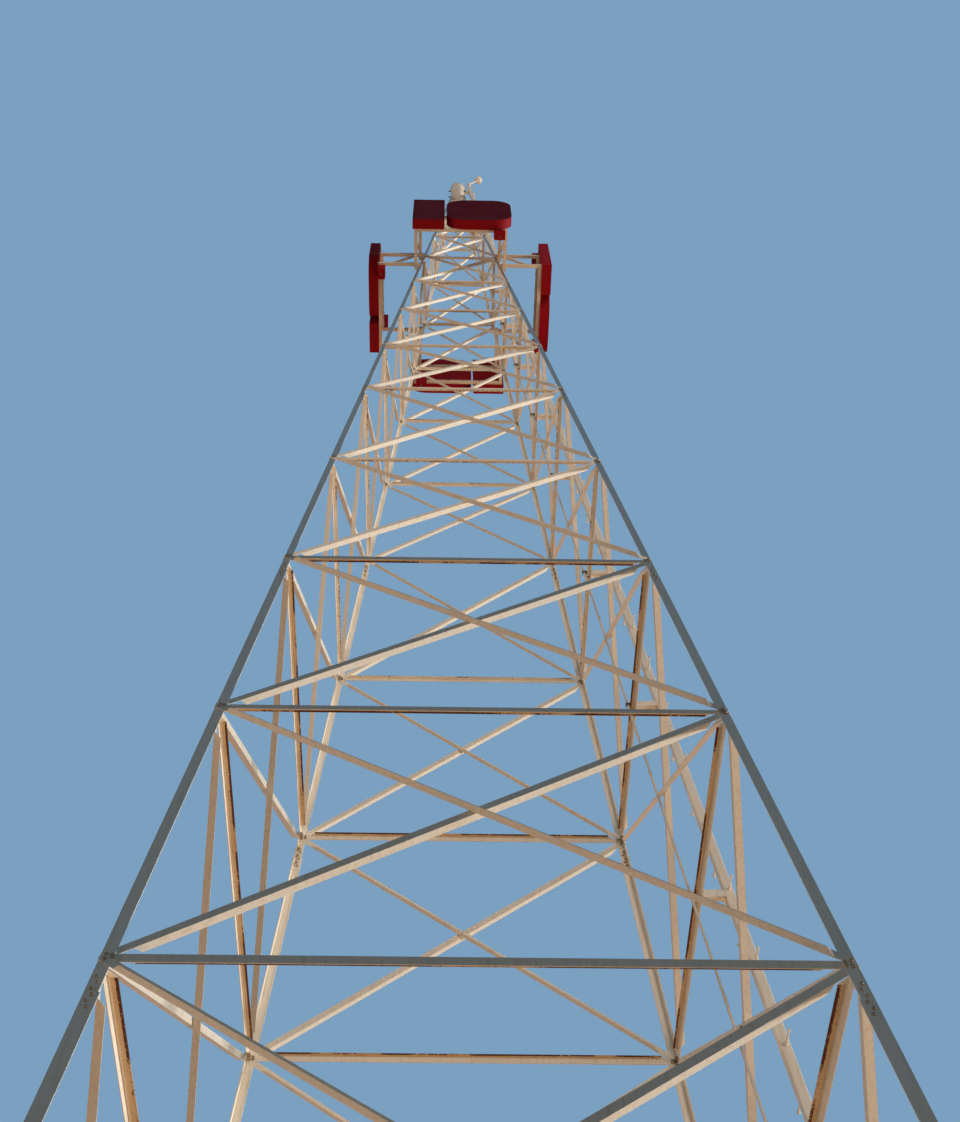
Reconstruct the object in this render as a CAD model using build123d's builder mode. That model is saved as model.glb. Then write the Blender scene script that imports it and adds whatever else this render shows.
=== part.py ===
"""Square lattice radio mast of bolted steel angles, with four raised signs near its top.

Millimetres, +Z up. The front face looks along -Y and the climbing rail is on the +X face.
The origin is the middle of the underside of the front left foot plate, at ground level.
"""
import os
from math import atan2, degrees, hypot, sqrt

from build123d import *

# Mast outline
taper = 0.0847
base_half = 3130
panel_heights = [4430, 3665, 3138, 3033, 2944, 2859, 2198, 2155, 2062, 1984, 1979, 1953, 1600, 1050]

# Legs, one angle size to each run of panels
leg_wall = 8
leg_runs = [(2, 102), (2, 89), (2, 76), (3, 64), (5, 51)]
joint_drop = 320
splice_length = 380
splice_wall = 8

# Foot plates
foot_size = 420
foot_thickness = 25
foot_inset = 45
anchor_spacing = 300
anchor_radius = 15

# Bracing angles, one size to each group of panels
brace_wall = 6
bracing_groups = [(2, 64, 76), (2, 64, 64), (2, 57, 51), (8, 48, 48)]
inner_cope = 2.4
outer_cope = 1.5
strut_cope = 1.35
corner_gap = 3
group_gap = 2
filler_size = 60

# Climbing rail and its brackets
rail_offset = 284
rail_depth = 90
rail_width = 76
rail_wall = 5
rail_start = 3000
rail_bend = 32400
rail_end = 36160
rail_end_offset = 225
peg_pitch = 914
peg_start = 3110
peg_radius = 9
peg_length = 170
peg_head_radius = 17
peg_head_length = 12
bracket_width = 64
bracket_height = 90
bracket_wall = 6
top_bracket_rise = 860

# Power conduit and its clamps
conduit_radius = 13
conduit_inset = 100
conduit_side = -60
conduit_start = 3000
conduit_end_gap = 80
clamp_width = 44
clamp_height = 26
clamp_cover = 9

# Signs and their frames
sign_distance = 1750
sign_depth = 185
sign_bottom = 27420
sign_height = 1365
sign_left = -910
sign_right = 963
square_width = 600
sign_gap = 40
sign_corner = 360
sign_rim = 14
sign_recess = 6
frame_size = 60
lower_arm = 27490
upper_arm = 28300
arm_gap = 12
clip_width = 40
knee_size = 40
knee_reach = 1330
box_width = 210
box_depth = 130
box_height = 240
upper_box = -660
lower_box = 728

# Top of the mast
cap_overhang = 12
cap_thickness = 12
drum_radius = 168
drum_height = 1180
drum_lip = 10
drum_lip_height = 45
drum_dome = 40
lamp_plate = 8
lamp_pipe_radius = 17
lamp_rise = 540
lamp_lean = 28
lamp_stem = 400
collar_radius = 42
collar_height = 60
neck_radius = 34
neck_height = 30
hoop_radius = 90
hoop_bar = 14
hoop_rise = 190
globe_radius = 98

os.makedirs("parts", exist_ok=True)

# Heights of the panel points, from the ground to the top of the legs
levels = [sum(panel_heights[:count]) for count in range(len(panel_heights) + 1)]
mast_height = levels[-1]
slope = hypot(1, taper)
reach = base_half - foot_inset
side_names = ["front", "right", "back", "left"]
leg_widths = [width for panels, width in leg_runs for panel in range(panels)]
strut_sizes = [strut for panels, brace, strut in bracing_groups for panel in range(panels)]


def half(height):
    """Distance from the axis to the outer face of the legs at this height."""
    return base_half - taper * height


def face_plane(turn, height=0):
    """Plane of one face of the mast, with x to the right seen from outside and y up the slope."""
    spin = Axis.Z
    across = Vector(1, 0, 0).rotate(spin, 90 * turn)
    outward = Vector(0, -1, taper).rotate(spin, 90 * turn)
    foot = Vector(0, -half(height), height).rotate(spin, 90 * turn)
    return Plane(origin=foot + Vector(reach, reach, 0), x_dir=across, z_dir=outward)


def upright_plane(turn, distance, height):
    """Upright plane across one side, with x to the right seen from outside and y up."""
    spin = Axis.Z
    across = Vector(1, 0, 0).rotate(spin, 90 * turn)
    outward = Vector(0, -1, 0).rotate(spin, 90 * turn)
    foot = outward * distance + Vector(0, 0, height)
    return Plane(origin=foot + Vector(reach, reach, 0), x_dir=across, z_dir=outward)


def span(plane, start, end):
    """Directions along and up across a bar that lies in a face, and its length."""
    along = (plane.x_dir * (end[0] - start[0]) + plane.y_dir * (end[1] - start[1])).normalized()
    upward = plane.z_dir.cross(along)
    return along, upward, hypot(end[0] - start[0], end[1] - start[1])


def flat_flange(start, end, width):
    """Flange of a brace that lies in the face, as a strip of the current sketch."""
    turn = degrees(atan2(end[1] - start[1], end[0] - start[0]))
    middle = ((start[0] + end[0]) / 2, (start[1] + end[1]) / 2)
    with Locations(Location((middle[0], middle[1], 0), (0, 0, turn))):
        Rectangle(hypot(end[0] - start[0], end[1] - start[1]), width)


def standing_flange(plane, start, end, edge, size, cope, inward):
    """Flange of a brace that stands off the face, with both of its ends clipped."""
    along, upward, length = span(plane, start, end)
    corner = plane.from_local_coords((start[0], start[1], 0)) + upward * edge
    reach_out = size if inward else -size
    with BuildSketch(Plane(origin=corner, x_dir=along, z_dir=upward)) as outline:
        with BuildLine():
            Polyline((cope, 0), (length - cope, 0), (length - cope - size, reach_out),
                     (cope + size, reach_out), close=True)
        make_face()
    return extrude(outline.sketch, amount=brace_wall, mode=Mode.PRIVATE)


# Foot plates, one under each leg, with four anchor holes
with BuildPart() as foot_plates:
    with Locations((reach, reach, 0)):
        with GridLocations(2 * reach, 2 * reach, 2, 2):
            Box(foot_size, foot_size, foot_thickness, align=(Align.CENTER, Align.CENTER, Align.MIN))
            with GridLocations(anchor_spacing, anchor_spacing, 2, 2):
                Cylinder(anchor_radius, foot_thickness, align=(Align.CENTER, Align.CENTER, Align.MIN),
                         mode=Mode.SUBTRACT)
foot_plates.part.label = "foot_plates"
export_step(foot_plates.part, "parts/foot_plates.step")

# Legs, each a run of angles with its heel outward and splice angles inside the joints
leg_names = {(-1, -1): "front_left_leg", (1, -1): "front_right_leg",
             (1, 1): "back_right_leg", (-1, 1): "back_left_leg"}
for (side_x, side_y), leg_name in leg_names.items():
    lean = Vector(-side_x * taper, -side_y * taper, 1)
    with BuildPart() as leg:
        bottom = foot_thickness
        top_panel = 0
        for run, (panels, width) in enumerate(leg_runs):
            top_panel += panels
            last = run == len(leg_runs) - 1
            top = mast_height if last else levels[top_panel] - joint_drop
            heel = Vector(reach + side_x * half(bottom), reach + side_y * half(bottom), bottom)
            with BuildSketch(Plane(origin=heel)):
                with BuildLine():
                    Polyline((0, 0), (-side_x * width, 0), (-side_x * width, -side_y * leg_wall),
                             (-side_x * leg_wall, -side_y * leg_wall),
                             (-side_x * leg_wall, -side_y * width), (0, -side_y * width), close=True)
                make_face()
            extrude(amount=(top - bottom) * lean.length, dir=lean)
            if not last:
                start = top - splice_length / 2
                seat = half(start) - leg_wall
                inner = leg_runs[run + 1][1] - leg_wall
                corner = Vector(reach + side_x * seat, reach + side_y * seat, start)
                with BuildSketch(Plane(origin=corner)):
                    with BuildLine():
                        Polyline((0, 0), (-side_x * inner, 0), (-side_x * inner, -side_y * splice_wall),
                                 (-side_x * splice_wall, -side_y * splice_wall),
                                 (-side_x * splice_wall, -side_y * inner), (0, -side_y * inner), close=True)
                    make_face()
                extrude(amount=splice_length * lean.length, dir=lean)
            bottom = top
    leg.part.label = leg_name
    export_step(leg.part, f"parts/{leg_name}.step")

# Bracing of each face: crossed angles in every panel and a strut at its top
for turn, side in enumerate(side_names):
    first = 0
    for group, (panels, brace, strut) in enumerate(bracing_groups, start=1):
        face = face_plane(turn)
        last = first + panels
        floor = levels[first] + (foot_thickness if first == 0 else bracing_groups[group - 2][2] / 2)
        floor = (floor + group_gap) * slope
        ceiling = levels[last] * slope + strut / 2
        if last == len(panel_heights):
            ceiling = levels[last] * slope - group_gap
        rising, falling, struts = [], [], []
        for panel in range(first, last):
            low, high = levels[panel], levels[panel + 1]
            rising.append(((-half(low), low * slope), (half(high), high * slope)))
            falling.append(((-half(high), high * slope), (half(low), low * slope)))
            top = high * slope if panel + 1 < len(panel_heights) else high * slope - strut / 2
            struts.append(((-half(high), top), (half(high), top)))
        with BuildPart() as bracing:
            # Strips behind the leg flanges: the rising braces and the struts
            inset = leg_wall + brace_wall + corner_gap
            with BuildSketch(face.offset(-leg_wall)):
                for start, end in rising:
                    flat_flange(start, end, brace)
                for start, end in struts:
                    flat_flange(start, end, strut)
                with BuildLine():
                    Polyline((-half(floor / slope) + inset, floor), (half(floor / slope) - inset, floor),
                             (half(ceiling / slope) - inset, ceiling),
                             (-half(ceiling / slope) + inset, ceiling), close=True)
                make_face(mode=Mode.INTERSECT)
            extrude(amount=-brace_wall)
            # Strips in front of the leg flanges: the falling braces
            with BuildSketch(face):
                for start, end in falling:
                    flat_flange(start, end, brace)
                with BuildLine():
                    Polyline((-half(floor / slope), floor), (half(floor / slope), floor),
                             (half(ceiling / slope), ceiling), (-half(ceiling / slope), ceiling), close=True)
                make_face(mode=Mode.INTERSECT)
            extrude(amount=brace_wall)
            # Fillers that part the two braces where they are bolted at their crossing
            with BuildSketch(face.offset(-leg_wall)):
                for panel in range(first, last):
                    low, high = levels[panel], levels[panel + 1]
                    share = half(low) / (half(low) + half(high))
                    with Locations((0, (low + share * (high - low)) * slope)):
                        Rectangle(min(filler_size, brace), min(filler_size, brace))
            extrude(amount=leg_wall)
            # Flanges that stand off the face: inwards on what lies behind the legs, outwards in front
            back = face.offset(-leg_wall)
            for panel in range(first, last):
                wide = leg_widths[panel]
                start, end = rising[panel - first]
                add(standing_flange(back, start, end, -brace / 2, brace, inner_cope * wide, True))
                start, end = falling[panel - first]
                add(standing_flange(face, start, end, -brace / 2, brace, outer_cope * wide, False))
                start, end = struts[panel - first]
                edge = strut / 2 - brace_wall
                add(standing_flange(back, start, end, edge, strut, strut_cope * wide, True))
        bracing.part.label = f"{side}_bracing_{group}"
        export_step(bracing.part, f"parts/{side}_bracing_{group}.step")
        first = last

# Climbing rail: a square tube beside the right face that leans in near its top, with pegs to
# both sides in turn
right_face = face_plane(1)


def rail_place(height):
    """Distance of the rail's middle from the right face at a height."""
    lean = (rail_offset - rail_end_offset) / (rail_end - rail_bend)
    return rail_offset - lean * max(0, height - rail_bend)


with BuildPart() as climbing_rail:
    for start, end in ((rail_start, rail_bend), (rail_bend, rail_end)):
        foot = right_face.from_local_coords((0, start * slope, rail_place(start)))
        top = right_face.from_local_coords((0, end * slope, rail_place(end)))
        with BuildSketch(Plane(origin=foot, x_dir=right_face.x_dir, z_dir=top - foot)):
            Rectangle(rail_width, rail_depth)
            Rectangle(rail_width - 2 * rail_wall, rail_depth - 2 * rail_wall, mode=Mode.SUBTRACT)
        extrude(amount=(top - foot).length)
    peg_step = peg_pitch / 2
    peg_count = int((rail_end - peg_start) / peg_step)
    for way in (-1, 1):
        first = peg_start + (0 if way < 0 else peg_step)
        pegs = [first + 2 * peg_step * peg for peg in range(peg_count // 2)]
        places = [(-way * rail_place(peg), peg * slope) for peg in pegs]
        side_origin = right_face.from_local_coords((way * rail_width / 2, 0, 0))
        side = Plane(origin=side_origin, x_dir=right_face.z_dir * -way, z_dir=right_face.x_dir * way)
        with BuildSketch(side):
            with Locations(places):
                RegularPolygon(peg_radius, 6)
        extrude(amount=peg_length)
        with BuildSketch(side.offset(peg_length)):
            with Locations(places):
                RegularPolygon(peg_head_radius, 6)
        extrude(amount=peg_head_length)
climbing_rail.part.label = "climbing_rail"
export_step(climbing_rail.part, "parts/climbing_rail.step")

# Brackets that carry the climbing rail: angles laid across the middle of each strut of the right
# face, and a flat bar from the drum to the rail's top
drum_foot = mast_height + cap_thickness
with BuildPart() as rail_brackets:
    for level, strut in list(zip(levels[1:-1], strut_sizes))[:-1]:
        start = leg_wall + strut
        bottom = level * slope + strut / 2
        seat = right_face.from_local_coords((-bracket_width / 2, bottom, -start))
        with BuildSketch(Plane(origin=seat, x_dir=right_face.x_dir, z_dir=right_face.z_dir)):
            with BuildLine():
                Polyline((0, 0), (bracket_width, 0), (bracket_width, bracket_wall),
                         (bracket_wall, bracket_wall), (bracket_wall, bracket_height),
                         (0, bracket_height), close=True)
            make_face()
        extrude(amount=rail_place(level + strut / 2 + bracket_height) - rail_depth / 2 + start)
    height = drum_foot + top_bracket_rise
    rail_inside = rail_place(height + bracket_wall) - rail_depth / 2
    rail_x = right_face.from_local_coords((0, (height + bracket_wall) * slope, rail_inside)).X
    with BuildSketch(Plane(origin=(reach, reach, height))):
        with Locations(((rail_x - reach) / 2, 0)):
            Rectangle(rail_x - reach, bracket_width)
        Circle(drum_radius, mode=Mode.SUBTRACT)
    extrude(amount=bracket_wall)
rail_brackets.part.label = "rail_brackets"
export_step(rail_brackets.part, "parts/rail_brackets.step")

# Power conduit, straight up the inside of the right face
with BuildPart() as power_conduit:
    foot = right_face.from_local_coords((conduit_side, conduit_start * slope, -conduit_inset))
    with BuildSketch(Plane(origin=foot, x_dir=right_face.x_dir, z_dir=right_face.y_dir)):
        Circle(conduit_radius)
    extrude(amount=(mast_height - conduit_end_gap - conduit_start) * slope)
power_conduit.part.label = "power_conduit"
export_step(power_conduit.part, "parts/power_conduit.step")

# Clamps that hold the conduit to the inner edge of each strut
with BuildPart() as conduit_clamps:
    for level, strut in list(zip(levels[1:-1], strut_sizes))[:-1]:
        start = leg_wall + strut
        reach_in = conduit_inset + conduit_radius + clamp_cover - start
        top = level * slope + strut / 2
        seat = right_face.from_local_coords((conduit_side, top - clamp_height / 2, -start))
        with BuildSketch(Plane(origin=seat, x_dir=right_face.x_dir, z_dir=-right_face.z_dir)):
            Rectangle(clamp_width, clamp_height)
        extrude(amount=reach_in)
        bore = right_face.from_local_coords((conduit_side, top - clamp_height, -conduit_inset))
        with BuildSketch(Plane(origin=bore, x_dir=right_face.x_dir, z_dir=right_face.y_dir)):
            Circle(conduit_radius)
        extrude(amount=clamp_height, mode=Mode.SUBTRACT)
conduit_clamps.part.label = "conduit_clamps"
export_step(conduit_clamps.part, "parts/conduit_clamps.step")

# Signs: on each side a square box and a rounded box on a frame of tubes held off the legs
sign_back = sign_distance - sign_depth
sign_middle = sign_bottom + sign_height / 2
round_left = sign_left + square_width + sign_gap
round_width = sign_right - round_left
for turn, side in enumerate(side_names):
    front = upright_plane(turn, sign_distance, 0)
    with BuildPart() as square_sign:
        with BuildSketch(front):
            with Locations((sign_left + square_width / 2, sign_middle)):
                Rectangle(square_width, sign_height)
        extrude(amount=-sign_depth)
        with BuildSketch(front):
            with Locations((sign_left + square_width / 2, sign_middle)):
                Rectangle(square_width - 2 * sign_rim, sign_height - 2 * sign_rim)
        extrude(amount=-sign_recess, mode=Mode.SUBTRACT)
    square_sign.part.label = f"{side}_square_sign"
    export_step(square_sign.part, f"parts/{side}_square_sign.step")

    with BuildPart() as round_sign:
        middle = (round_left + round_width / 2, sign_middle)
        with BuildSketch(front):
            with Locations(middle):
                RectangleRounded(round_width, sign_height, sign_corner)
        extrude(amount=-sign_depth)
        with BuildSketch(front):
            with Locations(middle):
                RectangleRounded(round_width - 2 * sign_rim, sign_height - 2 * sign_rim,
                                 sign_corner - sign_rim)
        extrude(amount=-sign_recess, mode=Mode.SUBTRACT)
    round_sign.part.label = f"{side}_round_sign"
    export_step(round_sign.part, f"parts/{side}_round_sign.step")

    # Frame: at two heights a rail behind the boxes and an arm past each leg. The arms of the
    # right and left sides lie on those of the front and back where they cross at a leg.
    with BuildPart() as sign_frame:
        back = upright_plane(turn, sign_back, 0)
        lift = frame_size if turn % 2 else 0
        ends = []
        for height in (lower_arm + lift, upper_arm + lift):
            arm_side = half(height - frame_size / 2) + arm_gap + frame_size / 2
            leg_end = half(height) - clip_width
            with BuildSketch(back):
                with Locations((0, height)):
                    Rectangle(2 * arm_side + frame_size, frame_size)
            extrude(amount=-frame_size)
            with BuildSketch(back.offset(-frame_size)):
                with Locations((-arm_side, height), (arm_side, height)):
                    Rectangle(frame_size, frame_size)
            extrude(amount=-(sign_back - frame_size - leg_end))
            ends.append((arm_side, height))
            # Clips from the arms to the legs
            for way in (-1, 1):
                leg_face = face_plane(turn + way)
                with BuildSketch(leg_face):
                    with Locations((-way * (half(height) - clip_width / 2), height * slope)):
                        Rectangle(clip_width, frame_size / 2)
                extrude(amount=arm_gap + frame_size / 2)
        # Knee braces, from the lower arms up to the upper ones just outside their crossing at the leg
        (low_side, low_height), (high_side, high_height) = ends
        knee_top = high_side + frame_size
        for way in (-1, 1):
            foot = back.from_local_coords((way * low_side, low_height, knee_reach - sign_back))
            top = back.from_local_coords((way * high_side, high_height, knee_top - sign_back))
            with BuildSketch(Plane(origin=foot, x_dir=back.x_dir, z_dir=top - foot)):
                Rectangle(knee_size, knee_size)
            extrude(amount=(top - foot).length)
    sign_frame.part.label = f"{side}_sign_frame"
    export_step(sign_frame.part, f"parts/{side}_sign_frame.step")

# Small power boxes: one on the upper rail and one under the lower rail behind each sign
with BuildPart() as power_boxes:
    for turn in range(4):
        lift = frame_size if turn % 2 else 0
        upper_seat = upper_arm + lift + frame_size / 2 + box_height / 2
        lower_seat = lower_arm + lift - frame_size / 2 - box_height / 2
        with BuildSketch(upright_plane(turn, sign_back, 0)):
            with Locations((upper_box, upper_seat), (lower_box, lower_seat)):
                Rectangle(box_width, box_height)
        extrude(amount=-box_depth)
power_boxes.part.label = "power_boxes"
export_step(power_boxes.part, "parts/power_boxes.step")

# Cap plate on the four legs
cap_size = 2 * (half(mast_height) + cap_overhang)
axis_top = Plane(origin=(reach, reach, mast_height))
with BuildPart() as cap_plate:
    with BuildSketch(axis_top):
        Rectangle(cap_size, cap_size)
    extrude(amount=cap_thickness)
cap_plate.part.label = "cap_plate"
export_step(cap_plate.part, "parts/cap_plate.step")

# Drum on the cap plate, with a lip at each end and a low sloping lid
with BuildPart() as top_drum:
    with BuildSketch(Plane(origin=(reach, reach, drum_foot), x_dir=(1, 0, 0), z_dir=(0, -1, 0))):
        with BuildLine():
            Polyline((0, drum_height), (0, 0), (drum_radius + drum_lip, 0),
                     (drum_radius + drum_lip, drum_lip_height), (drum_radius, drum_lip_height),
                     (drum_radius, drum_height - drum_dome - drum_lip_height),
                     (drum_radius + drum_lip, drum_height - drum_dome - drum_lip_height),
                     (drum_radius + drum_lip, drum_height - drum_dome), close=True)
        make_face()
    revolve(axis=Axis((reach, reach, 0), (0, 0, 1)))
top_drum.part.label = "top_drum"
export_step(top_drum.part, "parts/top_drum.step")

# Lamp above the climbing rail: a pipe with a hoop round it, a collar, and a leaning stem
rail_knee = right_face.from_local_coords((0, rail_bend * slope, rail_place(rail_bend)))
rail_top = right_face.from_local_coords((0, rail_end * slope, rail_place(rail_end)))
rail_way = (rail_top - rail_knee).normalized()
pipe_top = rail_top + Vector(0, 0, lamp_rise)
stem_way = Vector(0, 0, 1).rotate(Axis.Y, lamp_lean)
stem_top = pipe_top + stem_way * lamp_stem
with BuildPart() as lamp_arm:
    with BuildSketch(Plane(origin=rail_top, x_dir=right_face.x_dir, z_dir=rail_way)):
        Rectangle(rail_width, rail_depth)
    extrude(amount=lamp_plate)
    with BuildSketch(Plane(origin=rail_top + rail_way * lamp_plate / 2)):
        Circle(lamp_pipe_radius)
    extrude(amount=lamp_rise - lamp_plate / 2)
    hoop_middle = rail_top + Vector(0, 0, hoop_rise)
    with BuildSketch(Plane(origin=hoop_middle)):
        Circle(hoop_radius)
        Circle(hoop_radius - hoop_bar, mode=Mode.SUBTRACT)
        Rectangle(2 * hoop_radius - hoop_bar, hoop_bar)
    extrude(amount=hoop_bar)
    with BuildSketch(Plane(origin=pipe_top - stem_way * collar_height / 2, z_dir=stem_way)):
        Circle(collar_radius)
    extrude(amount=collar_height)
    with BuildSketch(Plane(origin=pipe_top, z_dir=stem_way)):
        Circle(lamp_pipe_radius)
    extrude(amount=lamp_stem)
    with BuildSketch(Plane(origin=stem_top, z_dir=stem_way)):
        Circle(neck_radius)
    extrude(amount=-neck_height)
lamp_arm.part.label = "lamp_arm"
export_step(lamp_arm.part, "parts/lamp_arm.step")

with BuildPart() as lamp_globe:
    rise = sqrt(globe_radius ** 2 - neck_radius ** 2)
    side_way = stem_way.cross(Vector(0, 1, 0)) * -1
    with BuildSketch(Plane(origin=stem_top, x_dir=side_way, z_dir=(0, -1, 0))):
        with Locations((0, rise)):
            Circle(globe_radius)
        beyond = 3 * globe_radius
        with Locations((0, 0)):
            Rectangle(beyond, beyond, align=(Align.CENTER, Align.MAX), mode=Mode.SUBTRACT)
            Rectangle(beyond, beyond, align=(Align.MAX, Align.MIN), mode=Mode.SUBTRACT)
    revolve(axis=Axis(stem_top, stem_way))
lamp_globe.part.label = "lamp_globe"
export_step(lamp_globe.part, "parts/lamp_globe.step")
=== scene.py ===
import math
import random

import bmesh
import bpy
from mathutils import Matrix, Vector


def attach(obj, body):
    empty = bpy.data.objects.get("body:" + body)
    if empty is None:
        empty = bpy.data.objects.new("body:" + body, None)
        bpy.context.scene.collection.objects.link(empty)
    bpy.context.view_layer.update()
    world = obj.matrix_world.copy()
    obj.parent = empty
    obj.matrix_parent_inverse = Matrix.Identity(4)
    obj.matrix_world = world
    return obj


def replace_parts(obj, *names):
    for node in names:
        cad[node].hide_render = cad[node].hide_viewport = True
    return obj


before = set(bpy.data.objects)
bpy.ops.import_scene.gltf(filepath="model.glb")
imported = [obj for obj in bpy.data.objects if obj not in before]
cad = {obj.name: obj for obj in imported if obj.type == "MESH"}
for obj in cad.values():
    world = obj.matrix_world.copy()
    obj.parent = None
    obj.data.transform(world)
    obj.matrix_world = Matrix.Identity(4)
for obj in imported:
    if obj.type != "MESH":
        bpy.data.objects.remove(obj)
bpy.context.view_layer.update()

random.seed(35)

# Camera
# The photograph's viewpoint: at eye height close to the foot of the mast, a little left of its
# middle, looking steeply up the front face.
eye = (2.808, -6.025, 1.60)
yaw = math.radians(1.173)
pitch = math.radians(59.955)
roll = math.radians(-0.284)
camera_data = bpy.data.cameras.new("photo_view")
camera_data.sensor_width = 36
camera_data.lens = 44.57
camera_data.shift_x = 0.0214
camera_data.shift_y = 0.0076
camera_data.clip_start = 0.1
camera_data.clip_end = 2000
forward = Vector((math.sin(yaw) * math.cos(pitch), math.cos(yaw) * math.cos(pitch), math.sin(pitch)))
level = Vector((math.cos(yaw), -math.sin(yaw), 0))
right = math.cos(roll) * level + math.sin(roll) * level.cross(forward)
upward = right.cross(forward)
camera = bpy.data.objects.new("photo_view", camera_data)
camera.matrix_world = Matrix.Translation(eye) @ Matrix((right, upward, -forward)).transposed().to_4x4()
bpy.context.scene.collection.objects.link(camera)
bpy.context.scene.camera = camera
bpy.context.scene.view_settings.view_transform = "Standard"

# Studio
# A pale floor and a plain blue backdrop. One warm lamp stands low on the right, as the sun does in
# the photograph, and three broad soft ones give what sunlit ground and steel throw back, from below,
# onto the inner sides and onto the left. The world adds an even cool fill.
axis = 3.085
floor_radius = 70
floor_drop = 0.002
floor_glow = 0.58


def linear(code):
    """A colour as on a paint card, such as #E8DCC4, turned to the values a shader takes."""
    parts = [int(code[place:place + 2], 16) / 255 for place in (1, 3, 5)]
    return [part / 12.92 if part <= 0.04045 else ((part + 0.055) / 1.055) ** 2.4 for part in parts] + [1]


def add_node(tree, kind, settings=None, values=None, links=None):
    """One node, with its own settings, the values of its sockets and what is linked into them."""
    node = tree.nodes.new(kind)
    for name, value in (settings or {}).items():
        setattr(node, name, value)
    for name, value in (values or {}).items():
        node.inputs[name].default_value = value
    for name, source in (links or {}).items():
        tree.links.new(source, node.inputs[name])
    return node


def new_material(name):
    """An empty material and its node tree."""
    material = bpy.data.materials.new(name)
    material.use_nodes = True
    material.node_tree.nodes.clear()
    return material, material.node_tree


def rays_that_show(tree):
    """1 for the rays that show a surface, straight, in metal or through glass, and 0 for the rest."""
    rays = add_node(tree, "ShaderNodeLightPath")
    seen = add_node(tree, "ShaderNodeMath", {"operation": "MAXIMUM"}, {},
                    {0: rays.outputs["Is Camera Ray"], 1: rays.outputs["Is Transmission Ray"]})
    seen = add_node(tree, "ShaderNodeMath", {"operation": "MAXIMUM"}, {},
                    {0: seen.outputs[0], 1: rays.outputs["Is Glossy Ray"]})
    return seen.outputs[0]


floor_paint, tree = new_material("pale_floor_paint")
grain = add_node(tree, "ShaderNodeTexNoise", values={"Scale": 2.5, "Detail": 6})
tone = add_node(tree, "ShaderNodeMix", {"data_type": "RGBA"},
                {6: linear("#DCCFB9"), 7: linear("#E6DBC8")}, {0: grain.outputs["Fac"]})
surface = add_node(tree, "ShaderNodeBsdfPrincipled", {}, {"Roughness": 0.8}, {"Base Color": tone.outputs[2]})
# The low lamp only grazes the floor, so the camera sees it paler than it is, with its shadow kept
paler = add_node(tree, "ShaderNodeMath", {"operation": "MULTIPLY"}, {1: floor_glow},
                 {0: rays_that_show(tree)})
glow = add_node(tree, "ShaderNodeEmission", {}, {}, {"Color": tone.outputs[2], "Strength": paler.outputs[0]})
both = add_node(tree, "ShaderNodeAddShader", links={0: surface.outputs[0], 1: glow.outputs[0]})
add_node(tree, "ShaderNodeOutputMaterial", links={"Surface": both.outputs[0]})
mesh = bpy.data.meshes.new("floor")
shape = bmesh.new()
bmesh.ops.create_circle(shape, cap_ends=True, segments=96, radius=floor_radius)
shape.to_mesh(mesh)
shape.free()
floor = bpy.data.objects.new("floor", mesh)
floor.location = (axis, axis, -floor_drop)
floor.data.materials.append(floor_paint)
bpy.context.scene.collection.objects.link(floor)
floor.visible_shadow = False

world = bpy.data.worlds.new("studio")
bpy.context.scene.world = world
world.use_nodes = True
tree = world.node_tree
tree.nodes.clear()
fill = add_node(tree, "ShaderNodeBackground", values={"Color": linear("#9CC6E6"), "Strength": 0.14})
backdrop = add_node(tree, "ShaderNodeBackground", values={"Color": linear("#7BA0C0"), "Strength": 1.0})
both = add_node(tree, "ShaderNodeMixShader", {}, {},
                {0: rays_that_show(tree), 1: fill.outputs[0], 2: backdrop.outputs[0]})
add_node(tree, "ShaderNodeOutputWorld", links={"Surface": both.outputs[0]})

# Each lamp's strength, its softness in degrees, its colour, and the way to it from the mast
lamps = (("low_sun", 2.9, 5, "#FFF7EC", (1.0, 0.14, 0.12)),
         ("ground_bounce", 1.15, 45, "#FFB676", (0.54, 0.32, -0.9)),
         ("inner_bounce", 1.25, 30, "#FFE4CC", (0.30, -0.85, -0.10)),
         ("left_bounce", 0.80, 50, "#FFCAA2", (-0.9, -0.05, -0.30)))
for name, strength, softness, colour, way in lamps:
    lamp_data = bpy.data.lights.new(name, "SUN")
    lamp_data.energy = strength
    lamp_data.angle = math.radians(softness)
    lamp_data.color = linear(colour)[:3]
    lamp = bpy.data.objects.new(name, lamp_data)
    lamp.rotation_mode = "QUATERNION"
    lamp.rotation_quaternion = Vector(way).to_track_quat("Z", "Y")
    bpy.context.scene.collection.objects.link(lamp)

# Legs
# Four corner legs of rolled steel angle, heel outwards, in five sizes from 102 mm at the foot to
# 51 mm at the top. They were primed and brushed with cream alkyd paint, which is sound and chalky,
# with rain-drawn dirt and rust only where water stands. The paint serves all the steelwork.
leg_wall = 0.008
panel_heights = [4.430, 3.665, 3.138, 3.033, 2.944, 2.859, 2.198, 2.155, 2.062, 1.984, 1.979, 1.953,
                 1.600, 1.050]
levels = [sum(panel_heights[:count]) for count in range(len(panel_heights) + 1)]
leg_runs = ((2, 0.102), (2, 0.089), (2, 0.076), (3, 0.064), (5, 0.051))
leg_widths = [width for panels, width in leg_runs for panel in range(panels)]


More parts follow.
